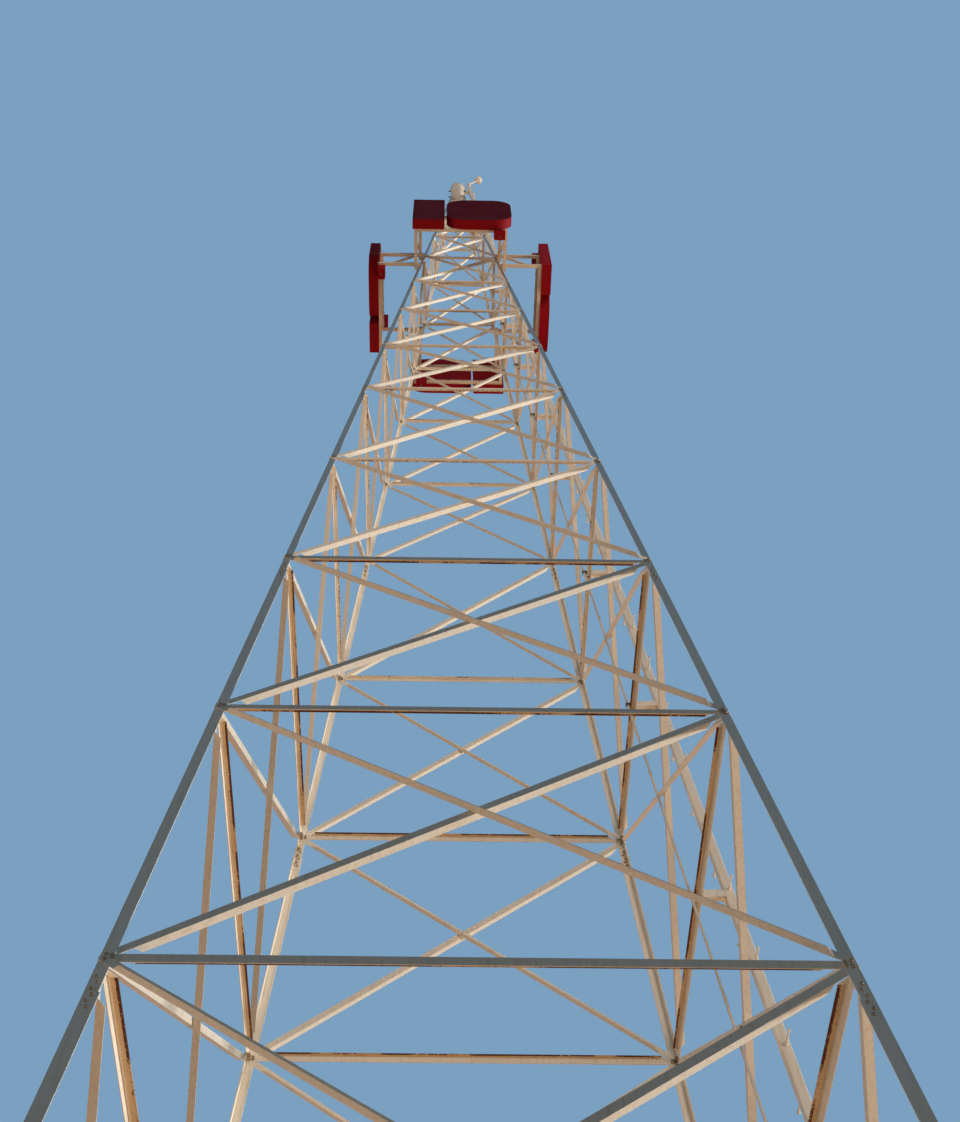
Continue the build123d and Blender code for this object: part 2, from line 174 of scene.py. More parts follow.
def weathered_paint(name, pale, warm, grime, rust_share, sheen=0.52):
    """Brushed alkyd paint on steel, where sheen is the roughness of the sound paint. The meshes' own
    rust value, where they have one, adds to the specks: it is 1 where rust has come right through
    and 0 on sound paint."""
    material, tree = new_material(name)
    place = add_node(tree, "ShaderNodeTexCoord").outputs["Object"]
    # Chalky patches about 300 mm across
    patches = add_node(tree, "ShaderNodeTexNoise", {}, {"Scale": 3.3, "Detail": 3}, {"Vector": place})
    # Dirt that the rain has drawn down, in runs about 30 mm wide and 0.6 m long
    drawn = add_node(tree, "ShaderNodeMapping", {}, {"Scale": (32, 32, 1.6)}, {"Vector": place})
    runs = add_node(tree, "ShaderNodeTexNoise", {}, {"Scale": 1, "Detail": 4}, {"Vector": drawn.outputs[0]})
    run_share = add_node(tree, "ShaderNodeMapRange", {}, {"From Min": 0.50, "From Max": 0.80, "To Max": 0.45},
                         {"Value": runs.outputs["Fac"]})
    # Rust specks from 5 to 20 mm, drawn a little coarse to show from the ground
    specks = add_node(tree, "ShaderNodeTexNoise", {}, {"Scale": 55, "Detail": 5, "Roughness": 0.65},
                      {"Vector": place})
    zones = add_node(tree, "ShaderNodeTexNoise", {}, {"Scale": 1.7, "Detail": 4}, {"Vector": place})
    zone_share = add_node(tree, "ShaderNodeMapRange", {},
                          {"From Min": 0.40, "From Max": 0.80, "To Min": -0.12, "To Max": rust_share},
                          {"Value": zones.outputs["Fac"]})
    own = add_node(tree, "ShaderNodeAttribute", {"attribute_name": "rust"})
    own_share = add_node(tree, "ShaderNodeMath", {"operation": "MULTIPLY"}, {1: 0.45},
                         {0: own.outputs["Fac"]})
    depth = add_node(tree, "ShaderNodeMath", {"operation": "ADD"}, {},
                     {0: specks.outputs["Fac"], 1: zone_share.outputs[0]})
    depth = add_node(tree, "ShaderNodeMath", {"operation": "ADD"}, {},
                     {0: depth.outputs[0], 1: own_share.outputs[0]})
    rust = add_node(tree, "ShaderNodeMapRange", {"interpolation_type": "SMOOTHSTEP"},
                    {"From Min": 0.66, "From Max": 0.78}, {"Value": depth.outputs[0]})
    stain = add_node(tree, "ShaderNodeMapRange", {"interpolation_type": "SMOOTHSTEP"},
                     {"From Min": 0.54, "From Max": 0.72, "To Max": 0.55}, {"Value": depth.outputs[0]})
    paint = add_node(tree, "ShaderNodeMix", {"data_type": "RGBA"}, {6: linear(pale), 7: linear(warm)},
                     {0: patches.outputs["Fac"]})
    dirty = add_node(tree, "ShaderNodeMix", {"data_type": "RGBA"}, {7: linear(grime)},
                     {0: run_share.outputs[0], 6: paint.outputs[2]})
    stained = add_node(tree, "ShaderNodeMix", {"data_type": "RGBA"}, {7: linear("#B08358")},
                       {0: stain.outputs[0], 6: dirty.outputs[2]})
    scale_tone = add_node(tree, "ShaderNodeMix", {"data_type": "RGBA"},
                          {6: linear("#2B1710"), 7: linear("#6B3720")}, {0: specks.outputs["Fac"]})
    colour = add_node(tree, "ShaderNodeMix", {"data_type": "RGBA"}, {},
                      {0: rust.outputs[0], 6: stained.outputs[2], 7: scale_tone.outputs[2]})
    rough = add_node(tree, "ShaderNodeMapRange", {}, {"To Min": sheen, "To Max": 0.9},
                     {"Value": rust.outputs[0]})
    # Brush marks and rust scale, 4 mm apart, drawn coarser than the real 1 mm
    marks = add_node(tree, "ShaderNodeTexNoise", {}, {"Scale": 250, "Detail": 2}, {"Vector": place})
    relief = add_node(tree, "ShaderNodeMath", {"operation": "ADD"}, {},
                      {0: marks.outputs["Fac"], 1: rust.outputs[0]})
    bump = add_node(tree, "ShaderNodeBump", {}, {"Strength": 0.25, "Distance": 0.0006},
                    {"Height": relief.outputs[0]})
    surface = add_node(tree, "ShaderNodeBsdfPrincipled", {}, {"Metallic": 0.0, "IOR": 1.5},
                       {"Base Color": colour.outputs[2], "Roughness": rough.outputs[0],
                        "Normal": bump.outputs[0]})
    add_node(tree, "ShaderNodeOutputMaterial", links={"Surface": surface.outputs[0]})
    return material


def finish_nodes(names, material):
    """Gives CAD nodes their finish."""
    for name in names:
        cad[name].data.materials.clear()
        cad[name].data.materials.append(material)


leg_paint = weathered_paint("cream_alkyd_paint_on_legs", "#F3EEE3", "#EDE4D2", "#C3B297", 0.03, 0.36)
finish_nodes(("front_left_leg", "front_right_leg", "back_right_leg", "back_left_leg"), leg_paint)

# Bolts of the leg splices
# Six hexagon bolts a flange in a close zigzag row join each leg section to the next through the
# splice angle inside. They were painted over with the legs and only show rust at their edges; their
# paint is drawn darker and browner than the legs' as painted shade on the small heads.
side_names = ("front", "right", "back", "left")
# The faces stand this far out from the axis at the ground, and lean in by this much a metre
base_half = 3.130
taper = 0.0847
slope = math.hypot(1, taper)
# Flanges wider than this have the larger bolts
wide_flange = 0.07
large_splice_bolt = 0.022
small_splice_bolt = 0.018
splice_bolts = 6
splice_pitch = 0.054
joint_drop = 0.320
# The two rows of the zigzag, as shares of the flange's width from the heel
zigzag_gauges = (0.66, 0.44)
washer_wall = 0.0025
thread_end = 0.011


def half(height):
    """Distance from the mast's axis to the outer face of a leg at a height."""
    return base_half - taper * height


def face_point(turn, across, up, out=0.0):
    """A point on one of the four leaning faces: across to the right seen from outside, up along
    the slope, and out from the outer face of the legs."""
    spin = Matrix.Rotation(turn * math.pi / 2, 3, "Z")
    outward = Vector((0, -1, taper)) / slope
    upright = Vector((0, taper, 1)) / slope
    return spin @ (Vector((across, -base_half, 0)) + upright * up + outward * out) + Vector((axis, axis, 0))


def face_direction(turn, across, up, out):
    """A direction given as along the axes of a leaning face."""
    return (face_point(turn, across, up, out) - face_point(turn, 0, 0)).normalized()


def turned(shape, foot, way, profile, points, spin=0.0):
    """A rod, washer, nut or head, as off a lathe: the profile gives its radius at distances from
    foot along way, points is the number of points round it, and both ends are closed."""
    way = Vector(way).normalized()
    side = way.orthogonal().normalized()
    other = way.cross(side)
    rings = []
    for distance, radius in profile:
        middle = Vector(foot) + way * distance
        angles = [spin + k * math.tau / points for k in range(points)]
        rings.append([shape.verts.new(middle + (side * math.cos(angle) + other * math.sin(angle)) * radius)
                      for angle in angles])
    for near, far in zip(rings, rings[1:]):
        for k in range(points):
            following = (k + 1) % points
            shape.faces.new((near[k], near[following], far[following], far[k]))
    shape.faces.new(list(reversed(rings[0])))
    shape.faces.new(rings[-1])


def bolt(shape, place, way, grip, flats):
    """Washer and hexagon head on the near side of what is gripped, and washer, nut and thread end on
    its far side. All are in proportion to the width of the head across its flats."""
    way = Vector(way).normalized()
    spin = random.uniform(0, math.pi)
    corner = flats * 0.577
    washer_radius = flats * 0.64
    thread_radius = flats * 0.31
    nut_high = flats * 0.5
    washer = ((0, washer_radius), (washer_wall, washer_radius))
    head = ((0, corner), (flats * 0.28, corner), (flats * 0.38, flats * 0.50))
    nut = ((0, corner), (nut_high, corner))
    thread = ((0, thread_radius), (thread_end, thread_radius))
    back = place - way * grip
    turned(shape, place, way, washer, 10)
    turned(shape, place + way * washer_wall, way, head, 6, spin)
    turned(shape, back, -way, washer, 10)
    turned(shape, back - way * washer_wall, -way, nut, 6, spin + 0.4)
    turned(shape, back - way * (washer_wall + nut_high), -way, thread, 8)


def piece(name, shape, material, smooth=False):
    """Turns a shape into a named piece of the mast that rides on its one body."""
    mesh = bpy.data.meshes.new(name)
    bmesh.ops.recalc_face_normals(shape, faces=shape.faces)
    shape.to_mesh(mesh)
    shape.free()
    mesh.materials.append(material)
    if smooth:
        mesh.polygons.foreach_set("use_smooth", [True] * len(mesh.polygons))
        mesh.set_sharp_from_angle(angle=math.radians(40))
    made = bpy.data.objects.new(name, mesh)
    bpy.context.scene.collection.objects.link(made)
    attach(made, "root")
    return made


# The bolts' paint is drawn darker and browner than the legs': painted shade on the small heads, with some
# real rust.
shade_darkened_bolt_paint = weathered_paint("cream_paint_with_painted_shade_on_bolts", "#C4B59C", "#9A8062", "#60432E", 0.20)
# A joint wherever the leg above is narrower than the one below
joints = [(levels[panel], leg_widths[panel]) for panel in range(1, len(leg_widths))
          if leg_widths[panel] < leg_widths[panel - 1]]
for turn, side_name in enumerate(side_names):
    shape = bmesh.new()
    for joint_level, width in joints:
        flats = large_splice_bolt if width > wide_flange else small_splice_bolt
        for side in (-1, 1):
            for count in range(splice_bolts):
                height = joint_level - joint_drop + (count - (splice_bolts - 1) / 2) * splice_pitch
                across = side * (half(height) - width * zigzag_gauges[count % 2])
                bolt(shape, face_point(turn, across, height * slope), face_direction(turn, 0, 0, 1),
                     2 * leg_wall, flats)
    piece(f"{side_name}_splice_bolts", shape, shade_darkened_bolt_paint)

# Bracing
# On every side and in every panel two angles cross. The rising one lies behind the leg flanges and
# its standing flange points inwards, the falling one lies in front and its flange points outwards.
# A horizontal strut closes each panel. All have the same cream paint as the legs.
brace_wall = 0.006
strut_runs = ((2, 0.076), (2, 0.064), (2, 0.051), (8, 0.048))
strut_sizes = [strut for panels, strut in strut_runs for panel in range(panels)]


def bracing_of(names, groups):
    """The bracing nodes of the sides named, where group 1 is the lowest."""
    return [f"{name}_bracing_{group}" for name in names for group in groups]


brace_paint = weathered_paint("cream_alkyd_paint_on_braces", "#F4EEE2", "#EDE2CE", "#C3AE90", 0.05, 0.60)
finish_nodes(bracing_of(side_names, (1, 2, 3, 4)), brace_paint)

# Bolts of the bracing
# One bolt fixes each end of a brace to the leg flange, one or two fix the end of a strut, and one
# ties the two braces where they cross. The thread ends stick out inside the legs.
large_brace_bolt = 0.024
small_brace_bolt = 0.018
# Places of the bolts as shares of the leg's width from its heel, and of the strut's from its middle
brace_gauge = 0.36
strut_gauge = 0.76
strut_bolt_step = 0.2
stained_bolts = [[] for side_name in side_names]
for turn, side_name in enumerate(side_names):
    shape = bmesh.new()
    outward = face_direction(turn, 0, 0, 1)
    for panel, width in enumerate(leg_widths):
        low, high = levels[panel], levels[panel + 1]
        flats = large_brace_bolt if width > wide_flange else small_brace_bolt
        lean = (high - low) * slope / (half(low) + half(high))
        gauge = width * brace_gauge
        grip = leg_wall + brace_wall
        # The ends of the rising brace, then of the falling one, which lies in front of the flange
        for end, height, rise, out in ((-1, low, 1, 0.0), (1, high, -1, 0.0),
                                       (-1, high, -1, brace_wall), (1, low, 1, brace_wall)):
            if height == 0:
                continue
            up = height * slope + rise * gauge * lean
            across = end * (half(up / slope) - gauge)
            bolt(shape, face_point(turn, across, up, out), outward, grip, flats)
            stained_bolts[turn].append((across, up, out, grip, flats))
        if panel + 1 < len(panel_heights):
            for end in (-1, 1):
                for step in ((-strut_bolt_step, strut_bolt_step) if width > wide_flange else (0.0,)):
                    up = high * slope + step * strut_sizes[panel]
                    across = end * (half(high) - width * strut_gauge)
                    bolt(shape, face_point(turn, across, up), outward, grip, flats)
        share = half(low) / (half(low) + half(high))
        crossing = (low + share * (high - low)) * slope
        bolt(shape, face_point(turn, 0, crossing, brace_wall), outward, grip + brace_wall, flats)
        stained_bolts[turn].append((0.0, crossing, brace_wall, grip + brace_wall, flats))
    piece(f"{side_name}_bracing_bolts", shape, shade_darkened_bolt_paint)

# Rust round the bolts
# At about every third bolt end, rain has drawn a little rust out of the hole and down over the paint.
# Each stain is a thin skin on the steel, whose own rust value falls to nothing at its edge.
skin = 0.0005
stained_share = 0.35
stain_points = 12


def bolt_stain(shape, rust_value, turn, across, up, out, flats):
    """The stain round one end of a bolt, longer below it."""
    drop = random.uniform(1.2, 3.0)
    middle = shape.verts.new(face_point(turn, across, up, out))
    middle[rust_value] = 0.8
    rings = []
    for share, value in ((0.75, 0.7), (1.0, 0.35), (1.4, 0.0)):
        ring = []
        for k in range(stain_points):
            angle = k * math.tau / stain_points
            spread = flats * share * random.uniform(0.8, 1.1)
            fall = drop if math.sin(angle) < -0.4 else 1.0
            vertex = shape.verts.new(face_point(turn, across + math.cos(angle) * spread * 0.8,
                                                up + math.sin(angle) * spread * fall, out))
            vertex[rust_value] = value
            ring.append(vertex)
        rings.append(ring)
    for k in range(stain_points):
        following = (k + 1) % stain_points
        shape.faces.new((middle, rings[0][k], rings[0][following]))
        for near, far in zip(rings, rings[1:]):
            shape.faces.new((near[k], far[k], far[following], near[following]))


for turn, side_name in enumerate(side_names):
    shape = bmesh.new()
    rust_value = shape.verts.layers.float.new("rust")
    for across, up, out, grip, flats in stained_bolts[turn]:
        for stain_out in (out + skin, out - grip - skin):
            if random.random() <= stained_share:
                bolt_stain(shape, rust_value, turn, across, up, stain_out, flats)
    piece(f"{side_name}_bolt_rust", shape, brace_paint)

# Rust and painted shade along the struts
# Water stands on the flat top flange of each strut and creeps round its free edge, so a dark line of
# rust has come through all along that edge. On the lowest struts the lower side of the flange is also
# drawn tan-orange: painted warm shade, like the light that the sunlit ground throws back.
rust_step = 0.045
strut_cope = 1.35


def strut_rust(shape, rust_value, turn, panel, strength):
    """The skin on one strut's top flange, along its lower side and round its free edge, rustiest at the edge.
    """
    high, strut = levels[panel + 1], strut_sizes[panel]
    over = high * slope + (strut / 2 if panel + 1 < len(panel_heights) else 0.0)
    under = over - brace_wall - skin
    edge = -(leg_wall + strut)
    reach = half(high) - strut_cope * leg_widths[panel] - strut
    count = max(8, int(2 * reach / rust_step))
    phase = random.uniform(0, 50)
    before = None
    for step in range(count + 1):
        across = -reach + 2 * reach * step / count
        # Uneven along the strut, in waves about 2.7, 1.2 and 0.5 m long
        wave = (math.sin(across * 2.3 + phase) + math.sin(across * 5.1 + 1.7 * phase)
                + 0.7 * math.sin(across * 13 + 2.9 * phase) + random.uniform(-0.5, 0.5))
        value = strength * min(1.0, max(0.35, 0.90 + 0.34 * wave))
        row = []
        for inward, up, share in ((0.72, under, 0.0), (0.50, under, 0.15), (0.32, under, 0.30),
                                  (0.25, under, 0.95), (0.0, under, 1.0), (0.0, over + skin, 0.95)):
            vertex = shape.verts.new(face_point(turn, across, up, edge + inward * strut - skin))
            vertex[rust_value] = value * share
            row.append(vertex)
        if before:
            for k in range(len(row) - 1):
                shape.faces.new((before[k], before[k + 1], row[k + 1], row[k]))
        before = row


# The lowest struts' undersides take a tan-orange paint that is painted warm shade, with real rust specks.
underside_shade_and_rust_paint = weathered_paint("rust_and_painted_shade_cream_paint", "#E2CCA6", "#C09C6C", "#8E6A44", 0.08)
for name, panels, strength, finish in (("lower_strut_rust_and_painted_shade", range(0, 4), 1.0, underside_shade_and_rust_paint),
                                       ("upper_strut_rust", range(4, len(panel_heights)), 0.55, brace_paint)):
    shape = bmesh.new()
    rust_value = shape.verts.layers.float.new("rust")
    for turn in range(4):
        for panel in panels:
            strut_rust(shape, rust_value, turn, panel, strength)
    piece(name, shape, finish)

# Foot plates
# A steel plate under each leg, held down by four anchor bolts that are cast into the footing, each
# with a round washer, a nut and its thread standing out above.
finish_nodes(("foot_plates",), leg_paint)
foot_wall = 0.025
anchor_half = 0.150
anchor_rod = ((0, 0.012), (0.081, 0.012), (0.085, 0.010))
anchor_washer = ((0, 0.028), (0.004, 0.028))
anchor_nut = ((0, 0.021), (0.018, 0.021), (0.022, 0.018))
plumb = Vector((0, 0, 1))
shape = bmesh.new()
for corner_x in (0, 2 * axis):
    for corner_y in (0, 2 * axis):
        for step_x in (-anchor_half, anchor_half):
            for step_y in (-anchor_half, anchor_half):
                foot = Vector((corner_x + step_x, corner_y + step_y, 0.0))
                washer_top = foot_wall + anchor_washer[-1][0]
                turned(shape, foot, plumb, anchor_rod, 12)
                turned(shape, foot + plumb * foot_wall, plumb, anchor_washer, 16)
                turned(shape, foot + plumb * washer_top, plumb, anchor_nut, 6, random.random())
piece("anchor_bolts", shape, shade_darkened_bolt_paint)

# Climbing rail
# A square steel tube with rounded corners up the outside of the right face. Step bolts stand out of
# its two sides in turn, each a round bar held by a nut, with a domed head to stop the foot.
rail_paint = weathered_paint("cream_alkyd_paint_on_rail", "#EFEAE0", "#E6DCC9", "#BBAA8E", 0.04)
rail_wide = 0.076
rail_deep = 0.090
rail_wall = 0.005
rail_corner = 0.009
# Heights of the rail's foot, bend and top, each with its distance out from the right face
rail_stations = ((3.0, 0.284), (32.4, 0.284), (36.16, 0.225))
peg_start = 3.11
peg_pitch = 0.457
peg_shape = ((0, 0.009), (0.168, 0.009), (0.170, 0.0145), (0.174, 0.0170), (0.178, 0.0165), (0.1805, 0.0120),
             (0.182, 0.005))
peg_washer = ((0, 0.021), (0.003, 0.021))
peg_nut = ((0, 0.0165), (0.013, 0.0165), (0.016, 0.0145))


def rail_place(height):
    """Distance of the rail's middle from the right face at a height."""
    bend, end = rail_stations[1], rail_stations[2]
    return bend[1] - (bend[1] - end[1]) / (end[0] - bend[0]) * max(0, height - bend[0])


def tube_outline(inset, corner):
    """Points round the tube's section, as across and out, with its corners rounded."""
    points = []
    for k, (way_x, way_y) in enumerate(((1, 1), (-1, 1), (-1, -1), (1, -1))):
        middle_x = way_x * (rail_wide / 2 - inset - corner)
        middle_y = way_y * (rail_deep / 2 - inset - corner)
        for step in range(5):
            angle = k * math.pi / 2 + step * math.pi / 8
            points.append((middle_x + corner * math.cos(angle), middle_y + corner * math.sin(angle)))
    return points


shape = bmesh.new()
skins = []
for inset, corner in ((0.0, rail_corner), (rail_wall, rail_corner - rail_wall)):
    rings = [[shape.verts.new(face_point(1, across, height * slope, out + place))
              for across, out in tube_outline(inset, corner)] for height, place in rail_stations]
    for near, far in zip(rings, rings[1:]):
        for k in range(len(near)):
            following = (k + 1) % len(near)
            shape.faces.new((near[k], near[following], far[following], far[k]))
    skins.append(rings)
for end in (0, -1):
    outer, inner = skins[0][end], skins[1][end]
    for k in range(len(outer)):
        following = (k + 1) % len(outer)
        shape.faces.new((outer[k], outer[following], inner[following], inner[k]))
peg_count = int((rail_stations[-1][0] - peg_start) / peg_pitch)
for way, first in ((-1, peg_start), (1, peg_start + peg_pitch)):
    direction = face_direction(1, way, 0, 0)
    for count in range(peg_count // 2):
        height = first + 2 * peg_pitch * count
        place = face_point(1, way * rail_wide / 2, height * slope, rail_place(height))
        turned(shape, place, direction, peg_shape, 12)
        turned(shape, place, direction, peg_washer, 12)
        turned(shape, place + direction * peg_washer[-1][0], direction, peg_nut, 6, random.uniform(0, 1))
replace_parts(piece("climbing_rail_with_pegs", shape, rail_paint, smooth=True), "climbing_rail")

# Rail brackets
# An angle lies on the middle of each strut of the right face but the top two, and runs out to the
# rail. A curved gusset is welded under it at the rail, and two bolts hold it to the strut's flange.
finish_nodes(("rail_brackets",), rail_paint)
gusset_paint = weathered_paint("rusting_cream_paint_on_gussets", "#E9D9BC", "#D2A873", "#9C6B41", 0.16)
carrying_struts = strut_sizes[:-2]
bracket_wall = 0.006
bracket_high = 0.090
bracket_bolt = 0.018
bracket_bolt_across = 0.012
# Places of the two bolts, as shares of the strut's width from the legs' inner face
bracket_bolt_gauges = (0.35, 0.78)
gusset_size = 0.110
gusset_gap = 0.020
gusset_lip = 0.012
gusset_half_wall = 0.003


def flat_piece(shape, near_points, far_points):
    """A flat bar or plate cut to an outline, which is given for each of its two sides."""
    near = [shape.verts.new(point) for point in near_points]
    far = [shape.verts.new(point) for point in far_points]
    shape.faces.new(near)
    shape.faces.new(list(reversed(far)))
    for k in range(len(near)):
        following = (k + 1) % len(near)
        shape.faces.new((near[k], near[following], far[following], far[k]))


shape = bmesh.new()
bolts = bmesh.new()
for panel, strut in enumerate(carrying_struts):
    high = levels[panel + 1]
    base = high * slope + strut / 2
    rail_side = rail_place(high + bracket_high / 2) - rail_deep / 2
    size = min(gusset_size, rail_side - gusset_gap)
    radius = size - gusset_lip
    outline = [(rail_side, base - size)]
    for step in range(7):
        angle = step * math.pi / 12
        outline.append((rail_side - gusset_lip - radius * (1 - math.cos(angle)),
                        base - size + radius * math.sin(angle)))
    outline += [(rail_side - size, base), (rail_side, base)]
    flat_piece(shape, [face_point(1, -gusset_half_wall, up, out) for out, up in outline],
               [face_point(1, gusset_half_wall, up, out) for out, up in outline])
    for share in bracket_bolt_gauges:
        place = face_point(1, bracket_bolt_across, base + bracket_wall, -(leg_wall + strut * share))
        bolt(bolts, place, face_direction(1, 0, 1, 0), bracket_wall + brace_wall, bracket_bolt)
piece("rail_gussets", shape, gusset_paint)
piece("rail_bracket_bolts", bolts, shade_darkened_bolt_paint)

# Power conduit
# Galvanised steel pipe of 26 mm, painted with the mast, straight up the inside of the right face. Its
# 3 m lengths screw into couplings, and an iron clamp coated with bitumen holds it at every strut.
pipe_paint = weathered_paint("cream_alkyd_paint_on_conduit", "#E4E0D6", "#D6CDBC", "#A89B85", 0.02)
finish_nodes(("power_conduit",), pipe_paint)
dark_iron, tree = new_material("bitumen_coated_iron")
place = add_node(tree, "ShaderNodeTexCoord").outputs["Object"]
# Dust in patches about 40 mm across on the black coat
dust = add_node(tree, "ShaderNodeTexNoise", {}, {"Scale": 24, "Detail": 5}, {"Vector": place})
tone = add_node(tree, "ShaderNodeMix", {"data_type": "RGBA"}, {6: linear("#3A3836"), 7: linear("#645D56")},
                {0: dust.outputs["Fac"]})
# Grain of the cast surface, 3 mm, drawn coarser than the real 0.5 mm
cast = add_node(tree, "ShaderNodeTexNoise", {}, {"Scale": 330, "Detail": 2}, {"Vector": place})
bump = add_node(tree, "ShaderNodeBump", {}, {"Strength": 0.3, "Distance": 0.0005},
                {"Height": cast.outputs["Fac"]})
surface = add_node(tree, "ShaderNodeBsdfPrincipled", {}, {"Roughness": 0.62, "IOR": 1.5},
                   {"Base Color": tone.outputs[2], "Normal": bump.outputs[0]})
add_node(tree, "ShaderNodeOutputMaterial", links={"Surface": surface.outputs[0]})
finish_nodes(("conduit_clamps",), dark_iron)
conduit_across = -0.060
conduit_out = -0.100
coupling_start = 3.9
coupling_pitch = 3.05
coupling_count = 11
coupling_shape = ((0, 0.0165), (0.003, 0.0178), (0.045, 0.0178), (0.048, 0.0165))
strap_radius = 0.0145
strap_ear = 0.030
strap_edges = (-0.022, -0.004)
shape = bmesh.new()
for count in range(coupling_count):
    place = face_point(1, conduit_across, (coupling_start + coupling_pitch * count) * slope, conduit_out)
    turned(shape, place, face_direction(1, 0, 1, 0), coupling_shape, 16)
piece("conduit_couplings", shape, pipe_paint, smooth=True)
# A saddle strap of thin iron round the pipe in each clamp block
shape = bmesh.new()
for panel, strut in enumerate(carrying_struts):
    top = levels[panel + 1] * slope + strut / 2
    strap = [(conduit_across + strap_ear, conduit_out)]
    for step in range(9):
        angle = math.pi * step / 8
        strap.append((conduit_across + strap_radius * math.cos(angle),
                      conduit_out - strap_radius * math.sin(angle)))
    strap.append((conduit_across - strap_ear, conduit_out))
    low, high = [[shape.verts.new(face_point(1, across, top + edge, out)) for across, out in strap]
                 for edge in strap_edges]
    for k in range(len(strap) - 1):
        shape.faces.new((low[k], low[k + 1], high[k + 1], high[k]))
piece("conduit_straps", shape, dark_iron, smooth=True)

# Signs
# Box signs folded from sheet steel and stove enamelled deep red, with a flanged rim round the face.
# Rivets hold the rim, and the enamel has faded and streaked in the weather.
sign_front = 1.750
sign_depth = 0.185
sign_foot = 27.420
sign_high = 1.365
sign_middle = sign_foot + sign_high / 2
sign_left = -0.910
sign_right = 0.963
sign_gap = 0.040
square_wide = 0.600
square_corner = 0.020
round_wide = sign_right - sign_left - square_wide - sign_gap
round_corner = 0.360
rivet = ((0, 0.006), (0.0015, 0.0055), (0.0026, 0.003))
rivet_pitch = 0.12
rivet_inset = 0.012


def signs_of(names):
    """The two sign boxes of each side named."""
    return [f"{name}_{kind}_sign" for name in names for kind in ("square", "round")]


def side_point(turn, across, height, distance):
    """A point out from one side of the mast: across to the right seen from outside, at a height
    and at a distance from the axis."""
    spin = Matrix.Rotation(turn * math.pi / 2, 3, "Z")
    return spin @ Vector((across, -distance, height)) + Vector((axis, axis, 0))


def side_direction(turn, across, out, up=0.0):
    """A direction given as across, out of and up one side of the mast."""
    return Matrix.Rotation(turn * math.pi / 2, 3, "Z") @ Vector((across, -out, up))


def box_edge(wide, corner, pitch):
    """Places round the edge of a sign box, each with the direction out of that edge."""
    places = []
    flat_x, flat_y = wide / 2 - corner, sign_high / 2 - corner
    for way in (-1, 1):
        for step in range(round(2 * flat_x / pitch)):
            places.append((-flat_x + pitch / 2 + step * pitch, way * sign_high / 2, 0, way))
        for step in range(round(2 * flat_y / pitch)):
            places.append((way * wide / 2, -flat_y + pitch / 2 + step * pitch, way, 0))
    if corner > pitch / 2:
        for k, (way_x, way_y) in enumerate(((1, 1), (-1, 1), (-1, -1), (1, -1))):
            for step in range(1, 4):
                angle = k * math.pi / 2 + step * math.pi / 8
                x, y = math.cos(angle), math.sin(angle)
                places.append((way_x * flat_x + corner * x, way_y * flat_y + corner * y, x, y))
    return places


sign_enamel, tree = new_material("red_stove_enamel")
place = add_node(tree, "ShaderNodeTexCoord").outputs["Object"]
# Fading in patches about 0.5 m across
patches = add_node(tree, "ShaderNodeTexNoise", {}, {"Scale": 2.2, "Detail": 4}, {"Vector": place})
enamel = add_node(tree, "ShaderNodeMix", {"data_type": "RGBA"}, {6: linear("#8C0A1C"), 7: linear("#A5141F")},
                  {0: patches.outputs["Fac"]})
rough = add_node(tree, "ShaderNodeMapRange", {}, {"To Min": 0.52, "To Max": 0.80},
                 {"Value": patches.outputs["Fac"]})
# Rain runs about 30 mm wide and 0.7 m long
drawn = add_node(tree, "ShaderNodeMapping", {}, {"Scale": (30, 30, 1.5)}, {"Vector": place})
runs = add_node(tree, "ShaderNodeTexNoise", {}, {"Scale": 1, "Detail": 4}, {"Vector": drawn.outputs[0]})
run_share = add_node(tree, "ShaderNodeMapRange", {}, {"From Min": 0.52, "From Max": 0.8, "To Max": 0.6},
                     {"Value": runs.outputs["Fac"]})
dirty = add_node(tree, "ShaderNodeMix", {"data_type": "RGBA"}, {7: linear("#4A1114")},
                 {0: run_share.outputs[0], 6: enamel.outputs[2]})
# Rusted chips of about 25 mm and less
chips = add_node(tree, "ShaderNodeTexNoise", {}, {"Scale": 38, "Detail": 5, "Roughness": 0.6},
                 {"Vector": place})
rust = add_node(tree, "ShaderNodeMapRange", {"interpolation_type": "SMOOTHSTEP"},
                {"From Min": 0.66, "From Max": 0.74}, {"Value": chips.outputs["Fac"]})
colour = add_node(tree, "ShaderNodeMix", {"data_type": "RGBA"}, {7: linear("#3A1A10")},
                  {0: rust.outputs[0], 6: dirty.outputs[2]})
# Sheet steel is never quite flat: soft hollows about 200 mm across
hollows = add_node(tree, "ShaderNodeTexNoise", {}, {"Scale": 5, "Detail": 1}, {"Vector": place})
bump = add_node(tree, "ShaderNodeBump", {}, {"Strength": 0.35, "Distance": 0.004},
                {"Height": hollows.outputs["Fac"]})
surface = add_node(tree, "ShaderNodeBsdfPrincipled", {}, {"IOR": 1.5, "Specular IOR Level": 0.07},
                   {"Base Color": colour.outputs[2], "Roughness": rough.outputs[0],
                    "Normal": bump.outputs[0]})
add_node(tree, "ShaderNodeOutputMaterial", links={"Surface": surface.outputs[0]})
finish_nodes(signs_of(side_names), sign_enamel)
shape = bmesh.new()
for turn in range(4):
    for middle, wide, corner in ((sign_left + square_wide / 2, square_wide, square_corner),
                                 (sign_right - round_wide / 2, round_wide, round_corner)):
        for x, y, way_x, way_y in box_edge(wide, corner, rivet_pitch):
            place = side_point(turn, middle + x, sign_middle + y, sign_front - rivet_inset)
            turned(shape, place, side_direction(turn, way_x, 0, way_y), rivet, 8)
piece("sign_rivets", shape, sign_enamel, smooth=True)

